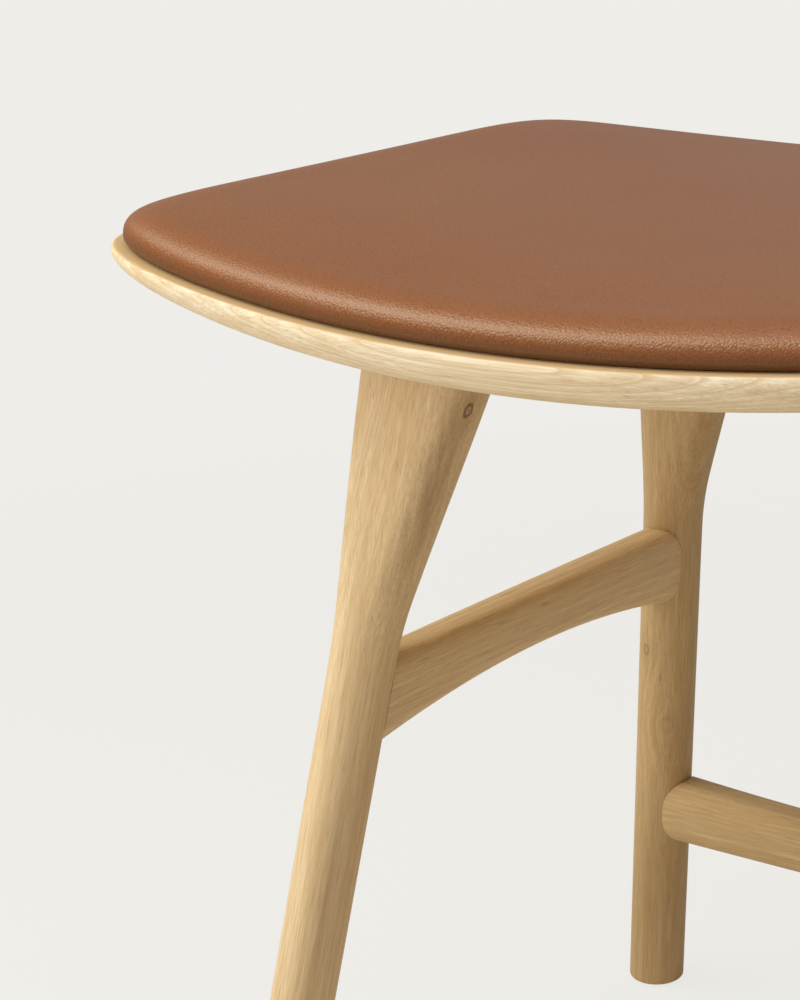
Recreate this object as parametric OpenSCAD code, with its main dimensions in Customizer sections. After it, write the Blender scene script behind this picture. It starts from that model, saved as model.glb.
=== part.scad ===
// Four-legged oak stool with a dished seat and a thin leather cushion.
// Millimetres, +Z up. The origin is on the floor under the middle of the seat.
// The long side of the seat lies along X. The back, with the low rail, faces +Y.

/* [Seat] */
// Width of the wooden seat, from end to end
seat_w = 486; // [450:1:540]
// Depth of the wooden seat at its middle
seat_d = 404; // [380:1:450]
// Height of the wooden seat's top above the floor, at its middle
seat_h = 435; // [400:1:480]
// How far the front and back edges draw in on their way to the ends
seat_bow = 42.5; // [25:0.5:60]
// How far the two ends curl up above the middle
seat_curl = 18; // [6:0.5:22]
// Thickness of the seat at its middle
seat_mid_t = 15.4; // [14:0.2:20]
// Thickness of the seat at its two ends
seat_end_t = 9.5; // [7:0.5:12]
// Squareness of the seat's corners: a higher value makes a tighter corner
seat_corner = 12.5; // [7:0.5:18]
// Width of the rounding on the upper edge of the seat
seat_top_round = 2; // [1:0.5:5]
// Width of the longer rounding on the lower edge of the seat
seat_low_round = 13; // [8:0.5:18]
// Share of the thickness at which the edge of the seat reaches out furthest
seat_edge_share = 0.75; // [0.5:0.05:0.85]

/* [Cushion] */
// Width of the bare wood left all round the cushion
cushion_margin = 5.5; // [5:0.5:12]
// Height of the cushion's rolled edge above the seat
cushion_edge = 15.2; // [12:0.2:22]
// Rise of the cushion's middle above its rolled edge
cushion_crown = 5.5; // [2:0.5:12]
// Width of the roll between the cushion's side and its top
cushion_roll = 24; // [12:1:32]
// How far the cushion's side draws in again at its foot
cushion_tuck = 2; // [2:0.5:5]
// Thickness of the leather
leather_t = 1.2; // [0.8:0.1:1.6]
// Width of the leather folded in under the board
fold_w = 26; // [15:1:40]
// Thickness of the plywood board inside the cushion
board_t = 4; // [3:0.5:5]

/* [Legs] */
// Diameter of the round lower part of a leg
leg_d = 28.8; // [26:0.2:34]
// Distance of a foot's centre in from the end of the seat
leg_inset_x = 61.5; // [50:0.5:70]
// Distance of a foot's centre in from the front or back of the seat
leg_inset_y = 42; // [30:0.5:52]
// Lean of the legs towards the middle along X, in degrees
lean_x = 9.3; // [7:0.1:11]
// Lean of the legs towards the middle along Y, in degrees
lean_y = 8.7; // [6:0.1:10]
// Length of the swelling head, down from the seat
head_l = 148; // [120:1:175]
// Length over which the swelling sets in
head_ease = 29; // [20:1:60]
// Swelling of the head towards the middle of the stool, along X
head_in_x = 27; // [16:0.5:28]
// Swelling of the head towards the end of the seat, along X
head_out_x = 6.5; // [0:0.5:8]
// Swelling of the head towards the middle of the stool, along Y
head_in_y = 3; // [0:0.5:10]
// Swelling of the head towards the front or back edge of the seat, along Y
head_out_y = 5; // [0:0.5:10]
// Squareness of the head at the seat: 2 is round
head_square = 3; // [2.2:0.1:5]
// Rounding round the foot
foot_round = 2.5; // [1:0.5:3]

/* [Side stretchers] */
// Height of the straight top edge above the floor
side_top = 274; // [245:1:285]
// Thickness along X
side_t = 23.2; // [18:0.2:25]
// Depth at the legs
side_end_h = 40; // [32:0.5:44]
// Depth at mid length, where the underside arches up
side_mid_h = 28.5; // [20:0.5:32]
// Squareness of the section: 2 is an ellipse
side_square = 3.4; // [2.4:0.1:5]

/* [Back stretcher] */
// Height of the straight lower edge above the floor
back_base = 93; // [70:1:130]
// Thickness along Y
back_t = 25; // [18:0.2:25]
// Depth at the legs
back_end_h = 36; // [32:0.5:42]
// Depth at mid length, where the top dips
back_mid_h = 30.5; // [24:0.5:31]
// Squareness of the section: 2 is an ellipse
back_square = 3; // [2.4:0.1:5]

/* [Dowels] */
// Diameter of the dowels
dowel_d = 8; // [6:0.5:9]
// Bevel on the ends of a dowel
dowel_bevel = 1; // [0.5:0.1:1.5]
// How far a dowel goes into each of the leg and the stretcher
rail_dowel_reach = 15; // [12:0.5:17]
// Distance between the two dowels of a stretcher's joint
rail_dowel_pitch = 15; // [12:0.5:17]
// How far a dowel goes up into the seat
seat_dowel_up = 8.5; // [7:0.5:10]
// How far a dowel goes down into the leg's head
seat_dowel_down = 20; // [16:1:26]
// Distance between the two dowels in a leg's head
seat_dowel_pitch = 21; // [16:1:23]

/* [Cushion fixings] */
// Distance of the screws in from the ends of the seat
screw_inset_x = 93; // [80:1:100]
// Distance of the screws in from the front and back of the seat
screw_inset_y = 132; // [112:1:150]
// Diameter of the screws
screw_d = 5; // [4:0.5:6]
// Diameter of the screws' heads
screw_head_d = 9; // [8:0.5:11]
// Height of the screws' heads
screw_head_h = 3; // [2.5:0.5:4]
// Depth of the heads below the underside of the seat
screw_sink = 1; // [0.5:0.1:2]
// Width across the flats of the socket in a screw's head
socket_w = 3; // [2:0.5:4]
// Depth of that socket
socket_depth = 2; // [1:0.1:2.2]
// Outside diameter of the threaded inserts
insert_d = 8; // [7.5:0.5:10]
// How far the inserts stay inside the board's two faces
insert_sink = 0.6; // [0.4:0.1:0.8]

/* [Glides] */
// Diameter of the foot glides
glide_d = 17; // [12:0.5:19]
// Thickness of the foot glides
glide_t = 3; // [2:0.5:4]
// How far the glides stand out below the feet
glide_show = 1; // [0.5:0.1:1.5]
// Rounding of the glides' lower edge
glide_round = 0.6; // [0.2:0.1:0.9]

/* [Fits] */
// Gap between wooden faces that meet
wood_gap = 0.2; // [0.2:0.05:0.4]
// Gap round a dowel, an insert or a glide in its bore
bore_gap = 0.05; // [0.03:0.01:0.1]
// Spare depth past the end of a dowel
bore_spare = 0.5; // [0.2:0.1:1]
// Play round a screw where it passes through the seat
screw_play = 0.25; // [0.1:0.05:0.5]
// Gap round the soft pieces
soft_gap = 0.3; // [0.25:0.05:0.5]

/* [Hidden] */

oak = "#D8BC8A";
// Points round the seat's rim, the cushion's rim, a leg and a stretcher
seat_points = 72;
cushion_points = 48;
leg_points = 32;
rail_points = 24;
// Rings between the foot and the seat on the swelling head
head_rings = 12;
// Swing in degrees that crowds a rim's points into its four corners
corner_crowd = 12;
// Shares of the full size at which a wide face has rings between its middle and its rim
face_rings = [0.25, 0.5, 0.75];
// Overshoot of a cutting form
cut = 1;
round_fn = 48;

LEFT = -1;
RIGHT = 1;
FRONT = -1;
BACK = 1;

// Common forms

// Point at angle a of a square of half width 1, its corners rounded by the exponent n
function round_square(a, n) =
    [cos(a), sin(a)] / pow(pow(abs(cos(a)), n) + pow(abs(sin(a)), n), 1 / n);

// How far that form, drawn to the half widths across and reach, still reaches at off from its middle
function round_square_at(off, across, reach, n) =
    reach * pow(max(0, 1 - pow(abs(off) / across, n)), 1 / n);

// Angles round a rim, crowded into the corners
function rim_angles(count) =
    [for (i = [0 : count - 1]) let (t = 360 * i / count) t + corner_crowd * sin(4 * t)];

function backwards(list) = [for (i = [len(list) - 1 : -1 : 0]) list[i]];

// Closed solid through rings of points, from the point first to the point last.
// Each ring turns anticlockwise as seen from the last point.
module loft(rings, first, last) {
    count = len(rings[0]);
    top = len(rings) - 1;
    tip = len(rings) * count;
    points = concat([for (ring = rings) for (p = ring) p], [first, last]);
    sides = [for (j = [0 : top - 1]) for (i = [0 : count - 1])
        let (a = j * count + i, b = j * count + (i + 1) % count)
        each [[a, a + count, b + count], [a, b + count, b]]];
    ends = [for (i = [0 : count - 1]) let (k = (i + 1) % count)
        each [[tip, i, k], [tip + 1, top * count + k, top * count + i]]];
    polyhedron(points, concat(sides, ends), convexity = 6);
}

// Its children, drawn for the back right corner, mirrored to the corner at side x and end y
module at_corner(x, y) {
    mirror([x == LEFT ? 1 : 0, 0, 0]) mirror([0, y == FRONT ? 1 : 0, 0]) children();
}

module at_each_corner() {
    for (x = [LEFT, RIGHT]) for (y = [FRONT, BACK]) at_corner(x, y) children();
}

// Upright round form through the points [radius, height] of its half section
module turned(profile) {
    rotate_extrude($fn = round_fn) polygon(concat([[0, profile[0].y]], profile,
        [[0, profile[len(profile) - 1].y]]));
}

// Seat

seat_r = seat_w / 2;
screw_x = seat_r - screw_inset_x;
screw_y = seat_d / 2 - screw_inset_y;
function end_share(x) = pow(x / seat_r, 2);
function seat_top(x) = seat_h + seat_curl * end_share(x);
function seat_t(x) = seat_mid_t + (seat_end_t - seat_mid_t) * end_share(x);
function seat_under(x) = seat_top(x) - seat_t(x);

// Point at angle a of the seat's outline, drawn in by inset
function seat_rim(a, inset) =
    let (u = round_square(a, seat_corner), x = u.x * (seat_r - inset))
    [x, u.y * (seat_d / 2 - inset - seat_bow * end_share(x))];

// Ring of that outline at level, a share of the thickness, scaled by size
function seat_ring(inset, level, size = 1) =
    [for (a = rim_angles(seat_points)) let (p = size * seat_rim(a, inset))
        [p.x, p.y, seat_under(p.x) + level * seat_t(p.x)]];

module seat_blank() {
    under = [for (size = face_rings) seat_ring(seat_low_round, 0, size)];
    low = [for (a = [0 : 22.5 : 90])
        seat_ring(seat_low_round * (1 - sin(a)), seat_edge_share * (1 - cos(a)))];
    up = [for (a = [30 : 30 : 90]) seat_ring(seat_top_round * (1 - cos(a)),
        seat_edge_share + (1 - seat_edge_share) * sin(a))];
    over = [for (size = backwards(face_rings)) seat_ring(seat_top_round, 1, size)];
    loft(concat(under, low, up, over), [0, 0, seat_under(0)], [0, 0, seat_top(0)]);
}

module seat_shell() {
    color(oak) difference() {
        seat_blank();
        at_each_corner() seat_dowel_pair(dowel_d / 2 + bore_gap, bore_spare);
        at_each_corner() screw_hole();
    }
}

// Cushion

// Heights above the seat's top: the board's underside, and the foam's, where the side is widest
board_lift = 2 * soft_gap + leather_t;
foam_lift = board_lift + board_t + soft_gap;
crown_sizes = [0.85, 0.65, 0.45, 0.22];

// Ring of the cushion at inset from the seat's outline and lift above its top, scaled by size
function pad_ring(inset, lift, size = 1) =
    [for (a = rim_angles(cushion_points)) let (p = size * seat_rim(a, inset))
        [p.x, p.y, seat_top(p.x) + lift]];

// Rings of the side at the angles given, -90 at its foot and 90 where the top begins.
// All lie in from the outside of the leather by skin.
function side_rings(angles, skin) = [for (a = angles)
    let (across = a < 0 ? cushion_tuck : cushion_roll,
        up = a < 0 ? foam_lift - soft_gap : cushion_edge - foam_lift)
    pad_ring(cushion_margin + across - (across - skin) * cos(a),
        foam_lift + (up - skin) * sin(a))];

function crown_lift(size, skin) = cushion_edge - skin + cushion_crown * (1 - size * size);

function crown_rings(sizes, skin) = [for (size = sizes)
    pad_ring(cushion_margin + cushion_roll, crown_lift(size, skin), size)];

module leather_cover() {
    fold_in = cushion_margin + cushion_tuck + fold_w;
    inside = concat(crown_rings(backwards(crown_sizes), leather_t),
        side_rings([90, 60, 30, 0, -90], leather_t));
    fold = [pad_ring(fold_in, soft_gap + leather_t), pad_ring(fold_in, soft_gap)];
    outside = concat(side_rings([-90, -45, 0, 18, 36, 54, 72, 90], 0),
        crown_rings(crown_sizes, 0));
    color("#8A5128") loft(concat(inside, fold, outside),
        [0, 0, seat_top(0) + crown_lift(0, leather_t)],
        [0, 0, seat_top(0) + crown_lift(0, 0)]);
}

module cushion_foam() {
    skin = leather_t + soft_gap;
    base = [for (size = face_rings) pad_ring(cushion_margin + skin, foam_lift, size)];
    color("#E8E0C8") loft(
        concat(base, side_rings([0, 30, 60, 90], skin), crown_rings(crown_sizes, skin)),
        [0, 0, seat_top(0) + foam_lift], [0, 0, seat_top(0) + crown_lift(0, skin)]);
}

module cushion_board() {
    inset = cushion_margin + cushion_tuck + soft_gap;
    top_lift = board_lift + board_t;
    sizes = concat(face_rings, [1]);
    color("#C9A97C") difference() {
        loft(concat([for (size = sizes) pad_ring(inset, board_lift, size)],
            [for (size = backwards(sizes)) pad_ring(inset, top_lift, size)]),
            [0, 0, seat_top(0) + board_lift], [0, 0, seat_top(0) + top_lift]);
        at_each_corner() translate([screw_x, screw_y, seat_top(screw_x) + board_lift - cut])
            cylinder(h = board_t + 2 * cut, r = insert_d / 2 + bore_gap, $fn = round_fn);
    }
}

// Legs, drawn for the back right corner

leg_r = leg_d / 2;
foot_z = glide_show;
foot_x = seat_r - leg_inset_x;
foot_y = seat_d / 2 - leg_inset_y;
head_top = seat_h - seat_mid_t;
head_z = head_top - head_l;
function leg_x(z) = foot_x - tan(lean_x) * z;
function leg_y(z) = foot_y - tan(lean_y) * z;

// The swelling sets in softly over head_ease and then grows evenly with height
function swell_run(rise) = rise < head_ease
    ? pow(max(0, rise), 2) / (2 * head_ease) : rise - head_ease / 2;
function swell(z) = swell_run(z - head_z) / swell_run(head_l);

// Reach of the section at height z from the leg's axis, towards and away from the middle
function reach_in_x(z) = leg_r + head_in_x * swell(z);
function reach_out_x(z) = leg_r + head_out_x * swell(z);
function reach_in_y(z) = leg_r + head_in_y * swell(z);
function reach_out_y(z) = leg_r + head_out_y * swell(z);

// The section turns from round to soft square on its way up the head
function leg_square(z) =
    let (t = min(1, max(0, (z - head_z) / (head_l - head_ease))))
    2 + (head_square - 2) * t * t * (3 - 2 * t);

// Point at angle a of the leg's section at height z, drawn in by inset
function leg_rim(a, z, inset = 0) =
    let (u = round_square(a, leg_square(z)))
    [leg_x(z) + u.x * ((u.x < 0 ? reach_in_x(z) : reach_out_x(z)) - inset),
        leg_y(z) + u.y * ((u.y < 0 ? reach_in_y(z) : reach_out_y(z)) - inset)];

// Where the leg's side that faces along the stretcher lies, beside the axis by off
function side_face_y(x, z) = let (off = x - leg_x(z)) leg_y(z) - round_square_at(off,
    off < 0 ? reach_in_x(z) : reach_out_x(z), reach_in_y(z), leg_square(z));
function side_face_x(y, z) = let (off = y - leg_y(z)) leg_x(z) - round_square_at(off,
    off < 0 ? reach_in_y(z) : reach_out_y(z), reach_in_x(z), leg_square(z));

// Ring of the leg at height z. Towards the seat, as share nears 1, it takes on the seat's curve.
head_x = leg_x(head_top);
function leg_ring(z, share = 0, inset = 0) =
    [for (i = [0 : leg_points - 1]) let (p = leg_rim(360 * i / leg_points, z, inset))
        [p.x, p.y, z + share * (seat_under(p.x) - seat_under(head_x))]];

module leg_blank() {
    top_z = seat_under(head_x) - wood_gap;
    foot = [for (a = [0 : 30 : 90])
        leg_ring(foot_z + foot_round * (1 - cos(a)), 0, foot_round * (1 - sin(a)))];
    head = [for (i = [0 : head_rings]) let (share = i / head_rings)
        leg_ring(head_z + share * (top_z - head_z), share)];
    loft(concat(foot, head), [leg_x(foot_z), leg_y(foot_z), foot_z], [head_x, leg_y(top_z), top_z]);
}

module leg(y) {
    color(oak) difference() {
        leg_blank();
        seat_dowel_pair(dowel_d / 2 + bore_gap, bore_spare);
        side_dowel_pair(dowel_d / 2 + bore_gap, bore_spare);
        if (y == BACK) back_dowel_pair(dowel_d / 2 + bore_gap, bore_spare);
        translate([leg_x(foot_z), leg_y(foot_z), -cut])
            cylinder(h = cut + glide_t + bore_gap, r = glide_d / 2 + bore_gap, $fn = round_fn);
    }
}

module front_left_leg() { at_corner(LEFT, FRONT) leg(FRONT); }
module back_left_leg() { at_corner(LEFT, BACK) leg(BACK); }
module back_right_leg() { at_corner(RIGHT, BACK) leg(BACK); }
module front_right_leg() { at_corner(RIGHT, FRONT) leg(FRONT); }

// Stretchers

// Shares of the section at which the hollowed ends have rings
end_rings = [0.3, 0.6, 0.8, 0.93];
// Steps along half the length
rail_steps = 5;

// Solid through the points at(angle, along, size), where along runs from -1 to 1 between the
// legs and size from 0 to 1 out from the middle of the section. It starts at the end given.
module rail(at, start) {
    angles = [for (i = [0 : rail_points - 1]) 360 * i / rail_points];
    stations = [for (i = [-rail_steps : rail_steps]) -start * i / rail_steps];
    loft(concat(
        [for (size = end_rings) [for (a = angles) at(a, start, size)]],
        [for (along = stations) [for (a = angles) at(a, along, 1)]],
        [for (size = backwards(end_rings)) [for (a = angles) at(a, -start, size)]]),
        at(0, start, 0), at(0, -start, 0));
}

// The section leans with the legs, so that it stays in the middle of them
side_point = function(a, along, size) let (
    u = size * round_square(a, side_square),
    h = side_mid_h + (side_end_h - side_mid_h) * along * along,
    z = side_top - h / 2 + u.y * h / 2,
    x = leg_x(z) + u.x * side_t / 2)
    [x, along * (side_face_y(x, z) - wood_gap), z];

back_point = function(a, along, size) let (
    u = size * round_square(a, back_square),
    h = back_mid_h + (back_end_h - back_mid_h) * along * along,
    z = back_base + h / 2 + u.y * h / 2,
    y = leg_y(z) + u.x * back_t / 2)
    [along * (side_face_x(y, z) - wood_gap), y, z];

module side_stretcher() {
    color(oak) difference() {
        rail(side_point, 1);
        for (y = [FRONT, BACK]) at_corner(RIGHT, y)
            side_dowel_pair(dowel_d / 2 + bore_gap, bore_spare);
    }
}

module left_side_stretcher() { at_corner(LEFT, BACK) side_stretcher(); }
module right_side_stretcher() { side_stretcher(); }

module back_stretcher() {
    color(oak) difference() {
        rail(back_point, -1);
        for (x = [LEFT, RIGHT]) at_corner(x, BACK)
            back_dowel_pair(dowel_d / 2 + bore_gap, bore_spare);
    }
}

// Dowels, drawn for the back right corner. As bores they are wider and longer.

module dowel(length, r, spare) {
    bevel = spare > 0 ? 0 : dowel_bevel;
    color("#E2C79C") translate([0, 0, -spare]) turned(concat(
        bevel > 0 ? [[r - bevel, 0]] : [], [[r, bevel], [r, length + 2 * spare - bevel]],
        bevel > 0 ? [[r - bevel, length]] : []));
}

// The two stand in the middle of the head, side by side along X
module seat_dowel_pair(r, spare) {
    middle = head_x - (reach_in_x(head_top) - reach_out_x(head_top)) / 2;
    for (side = [-1, 1]) let (x = middle + side * seat_dowel_pitch / 2)
        translate([x, leg_y(head_top), seat_under(x) - seat_dowel_down])
            dowel(seat_dowel_down + seat_dowel_up, r, spare);
}

// The two lie one above the other, half in the leg and half in the stretcher
module side_dowel_pair(r, spare) {
    for (side = [-1, 1]) let (z = side_top - side_end_h / 2 + side * rail_dowel_pitch / 2)
        translate([leg_x(z), side_face_y(leg_x(z), z) + rail_dowel_reach, z]) rotate([90, 0, 0])
            dowel(2 * rail_dowel_reach, r, spare);
}

module back_dowel_pair(r, spare) {
    for (side = [-1, 1]) let (z = back_base + back_end_h / 2 + side * rail_dowel_pitch / 2)
        translate([side_face_x(leg_y(z), z) - rail_dowel_reach, leg_y(z), z]) rotate([0, 90, 0])
            dowel(2 * rail_dowel_reach, r, spare);
}

module seat_dowels() { at_each_corner() seat_dowel_pair(dowel_d / 2, 0); }
module side_dowels() { at_each_corner() side_dowel_pair(dowel_d / 2, 0); }
module back_dowels() { for (x = [LEFT, RIGHT]) at_corner(x, BACK) back_dowel_pair(dowel_d / 2, 0); }

// Cushion fixings, drawn for the back right corner

screw_base = seat_under(screw_x) + screw_sink;
insert_base = seat_top(screw_x) + board_lift + insert_sink;
insert_h = board_t - 2 * insert_sink;

module screw_hole() {
    head_r = screw_head_d / 2 + screw_play;
    translate([screw_x, screw_y, screw_base - screw_sink - cut])
        cylinder(h = cut + screw_sink + screw_head_h, r = head_r, $fn = round_fn);
    translate([screw_x, screw_y, screw_base])
        cylinder(h = seat_t(screw_x) + cut, r = screw_d / 2 + screw_play, $fn = round_fn);
}

module cushion_screws() {
    length = insert_base + insert_h - screw_base;
    color("silver") at_each_corner() translate([screw_x, screw_y, screw_base]) difference() {
        turned([[screw_head_d / 2, 0], [screw_head_d / 2, screw_head_h],
            [screw_d / 2, screw_head_h], [screw_d / 2, length]]);
        translate([0, 0, -cut])
            cylinder(h = cut + socket_depth, d = socket_w / cos(30), $fn = 6);
    }
}

module cushion_inserts() {
    color("#C8B070") at_each_corner() translate([screw_x, screw_y, insert_base]) difference() {
        cylinder(h = insert_h, d = insert_d, $fn = round_fn);
        translate([0, 0, -cut])
            cylinder(h = insert_h + 2 * cut, r = screw_d / 2 + bore_gap, $fn = round_fn);
    }
}

// Foot glides

module foot_glides() {
    r = glide_d / 2;
    color("#4A4038") at_each_corner() translate([leg_x(foot_z), leg_y(foot_z), 0])
        turned([[r - glide_round, 0], [r, glide_round], [r, glide_t]]);
}

seat_shell();
cushion_board();
cushion_foam();
leather_cover();
front_left_leg();
back_left_leg();
back_right_leg();
front_right_leg();
left_side_stretcher();
right_side_stretcher();
back_stretcher();
seat_dowels();
side_dowels();
back_dowels();
cushion_screws();
cushion_inserts();
foot_glides();
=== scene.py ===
import bpy
from math import sin, cos, tan, radians
from mathutils import Matrix, Vector
from mathutils.kdtree import KDTree


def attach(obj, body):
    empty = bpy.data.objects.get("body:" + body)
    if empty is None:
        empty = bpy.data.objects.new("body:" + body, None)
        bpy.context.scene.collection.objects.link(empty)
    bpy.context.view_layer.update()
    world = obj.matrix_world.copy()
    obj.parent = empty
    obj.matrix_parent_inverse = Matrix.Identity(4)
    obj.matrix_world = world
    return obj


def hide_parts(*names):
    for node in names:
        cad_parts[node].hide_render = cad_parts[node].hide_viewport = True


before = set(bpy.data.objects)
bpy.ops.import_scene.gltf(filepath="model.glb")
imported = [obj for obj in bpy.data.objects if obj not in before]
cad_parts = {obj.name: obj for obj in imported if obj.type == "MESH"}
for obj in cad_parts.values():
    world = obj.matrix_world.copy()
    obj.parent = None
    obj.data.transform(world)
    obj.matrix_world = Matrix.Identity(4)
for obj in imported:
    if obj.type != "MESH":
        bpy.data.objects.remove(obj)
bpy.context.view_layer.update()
mm = 0.001
print("frame loaded:", len(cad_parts), "nodes")

# Camera, at the photograph's angle. The stool runs out of the frame on the right.

cameraPlace = {
    "spot": (0.53003, -0.87987, 0.62883),
    "turn": 40.10542,  # degrees to the left of straight towards the back
    "down": 15.76321,
    "roll": -2.93933,
    "focal": 2540.35,  # in pixels of the 800 by 1000 picture
    "tall": 1000,      # pixels
    "sensor": 36,      # mm along the picture's longer side
    "clip": (0.05, 200),
}


def placeCamera():
    c = cameraPlace
    turn, down, roll = (radians(c[k]) for k in ("turn", "down", "roll"))
    ahead = Vector((-sin(turn) * cos(down), cos(turn) * cos(down), -sin(down)))
    level = Vector((cos(turn), sin(turn), 0))
    upright = level.cross(ahead)
    across = level * cos(roll) + upright * sin(roll)
    up = upright * cos(roll) - level * sin(roll)
    data = bpy.data.cameras.new("camera")
    data.sensor_width = c["sensor"]
    data.lens = c["focal"] / c["tall"] * c["sensor"]
    data.clip_start, data.clip_end = c["clip"]
    camera = bpy.data.objects.new("camera", data)
    camera.matrix_world = Matrix((across, up, -ahead)).transposed().to_4x4()
    camera.location = c["spot"]
    bpy.context.collection.objects.link(camera)
    bpy.context.scene.camera = camera


placeCamera()
print("camera placed")


# Forms shared by the pieces, in millimetres


def roundSquare(angle, power):  # point of a square of half width 1 with rounded corners
    c, s = cos(angle), sin(angle)
    k = (abs(c) ** power + abs(s) ** power) ** (-1 / power)
    return c * k, s * k


def roundSquareAt(off, across, reach, power):  # how far that form still reaches at off
    return reach * max(0, 1 - (abs(off) / across) ** power) ** (1 / power)


def addPiece(name, points, faces):
    mesh = bpy.data.meshes.new(name)
    mesh.from_pydata([[c * mm for c in p] for p in points], [], faces)
    mesh.update()
    piece = bpy.data.objects.new(name, mesh)
    bpy.context.collection.objects.link(piece)
    return piece


def loft(name, rings, first, last=None):  # skin through rings that run up from first
    count = len(rings[0])
    points = [p for ring in rings for p in ring]
    faces = []
    for j in range(len(rings) - 1):
        for i in range(count):
            a, b = j * count + i, j * count + (i + 1) % count
            faces.append((a, b, b + count, a + count))
    for end, row, turned in ((first, 0, True), (last, len(rings) - 1, False)):
        if end is None:
            continue
        points.append(end)
        for i in range(count):
            a, b = row * count + i, row * count + (i + 1) % count
            faces.append((len(points) - 1, b, a) if turned else (len(points) - 1, a, b))
    return addPiece(name, points, faces)


def mirrored(piece, sideX, sideY):  # drawn for the back right corner
    for v in piece.data.vertices:
        v.co.x *= sideX
        v.co.y *= sideY
    if sideX * sideY < 0:
        piece.data.flip_normals()
    return piece


def applied(piece):  # turns what the modifiers give into the piece's own mesh
    graph = bpy.context.evaluated_depsgraph_get()
    mesh = bpy.data.meshes.new_from_object(
        piece.evaluated_get(graph), preserve_all_data_layers=True, depsgraph=graph)
    piece.modifiers.clear()
    piece.data = mesh
    return piece


boreSides = 32


def drill(piece, bores):  # each bore: start, end, radius in millimetres
    points, faces, n = [], [], boreSides
    for start, end, radius in bores:
        start, end = Vector(start), Vector(end)
        turn = (end - start).to_track_quat("Z", "Y")
        base = len(points)
        for centre in (start, end):
            for i in range(n):
                t = radians(360 * i / n)
                points.append(centre + turn @ Vector((radius * cos(t), radius * sin(t), 0)))
        faces += [(base + i, base + (i + 1) % n, base + n + (i + 1) % n, base + n + i)
                  for i in range(n)]
        faces += [tuple(base + i for i in reversed(range(n))),
                  tuple(base + n + i for i in range(n))]
    cutter = addPiece("cutter", points, faces)
    cut = piece.modifiers.new("bores", "BOOLEAN")
    cut.operation, cut.solver, cut.object = "DIFFERENCE", "EXACT", cutter
    applied(piece)
    bpy.data.objects.remove(cutter)
    return piece


# Materials


def tone(code):  # sRGB hex to linear
    parts = [int(code[i:i + 2], 16) / 255 for i in (1, 3, 5)]
    return [c / 12.92 if c <= 0.04045 else ((c + 0.055) / 1.055) ** 2.4 for c in parts] + [1]


def addNode(tree, kind, inputs=None, **settings):
    node = tree.nodes.new(kind)
    for key, value in settings.items():
        setattr(node, key, value)
    for key, value in (inputs or {}).items():
        socket = node.inputs[key]
        if isinstance(value, bpy.types.NodeSocket):
            tree.links.new(value, socket)
        else:
            socket.default_value = value
    return node


def newMaterial(name, roughness, ior):
    material = bpy.data.materials.new(name)
    material.use_nodes = True
    tree = material.node_tree
    tree.nodes.clear()
    surface = addNode(tree, "ShaderNodeBsdfPrincipled", {"Roughness": roughness, "IOR": ior})
    addNode(tree, "ShaderNodeOutputMaterial", {"Surface": surface.outputs[0]})
    return material, tree, surface


oakFinish = {
    "light": "#E8CDA0",
    "middle": "#DFBF8D",
    "late": "#C39B66",
    "pore": "#8A6840",
    "knot": "#5E4124",
    "ringWidth": 3.4,     # mm between one year and the next
    "ringMark": 0.35,     # how clearly the end of each year shows
    "ringWander": 0.03,   # metres that the rings stray along the piece
    "springMark": 0.3,    # how clearly the wood of each spring shows
    "spring": ((0.14, 1.0), (0.34, 0.7), (0.6, 0.12), (0.85, 0.0)),  # its share in a year
    "turnOfYear": 0.25,
    "fibreWidth": 0.5,    # mm across one bundle of fibres
    "fibreLength": 16,    # mm
    "fibreMark": 0.65,    # how clearly the fibres show
    "streakMark": 0.42,   # the same for the broad soft streaks
    "poreWidth": 0.3,     # mm, near the real vessels of the early wood
    "poreLength": 12.0,   # mm
    "poreMark": 0.5,
    "poreDepth": 0.1,     # mm
    "poreLevel": (0.68, 0.57),  # noise above which a vessel lies, in late and in early wood
    "topShadeMark": 0,        # painted shade: how much of the late tone the upper face takes on
    "veinsAndShade": (),          # darker stretches, veins of the wood and painted shade: middle in the grain, lean and reach
    "veinAndShadeRange": (0.75, 1.25),  # how much a streak weakens or strengthens a darker stretch
    "roughness": 0.56,
    "ior": 1.48,
}
knotShape = {  # lengths as shares of the knot's radius
    "slim": 0.7,          # across, to its length along the grain
    "crooked": 0.7,       # size of its bumps
    "bend": (0.86, 1.14),  # least and most that they push its rim out
    "pulled": 6,          # as far as the grain round it parts
    "rim": 0.8, "rimClear": 0.1, "rimSoft": 0.42,
    "core": 0.35,
    "halo": 5, "haloMark": 0.3,
}


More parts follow.
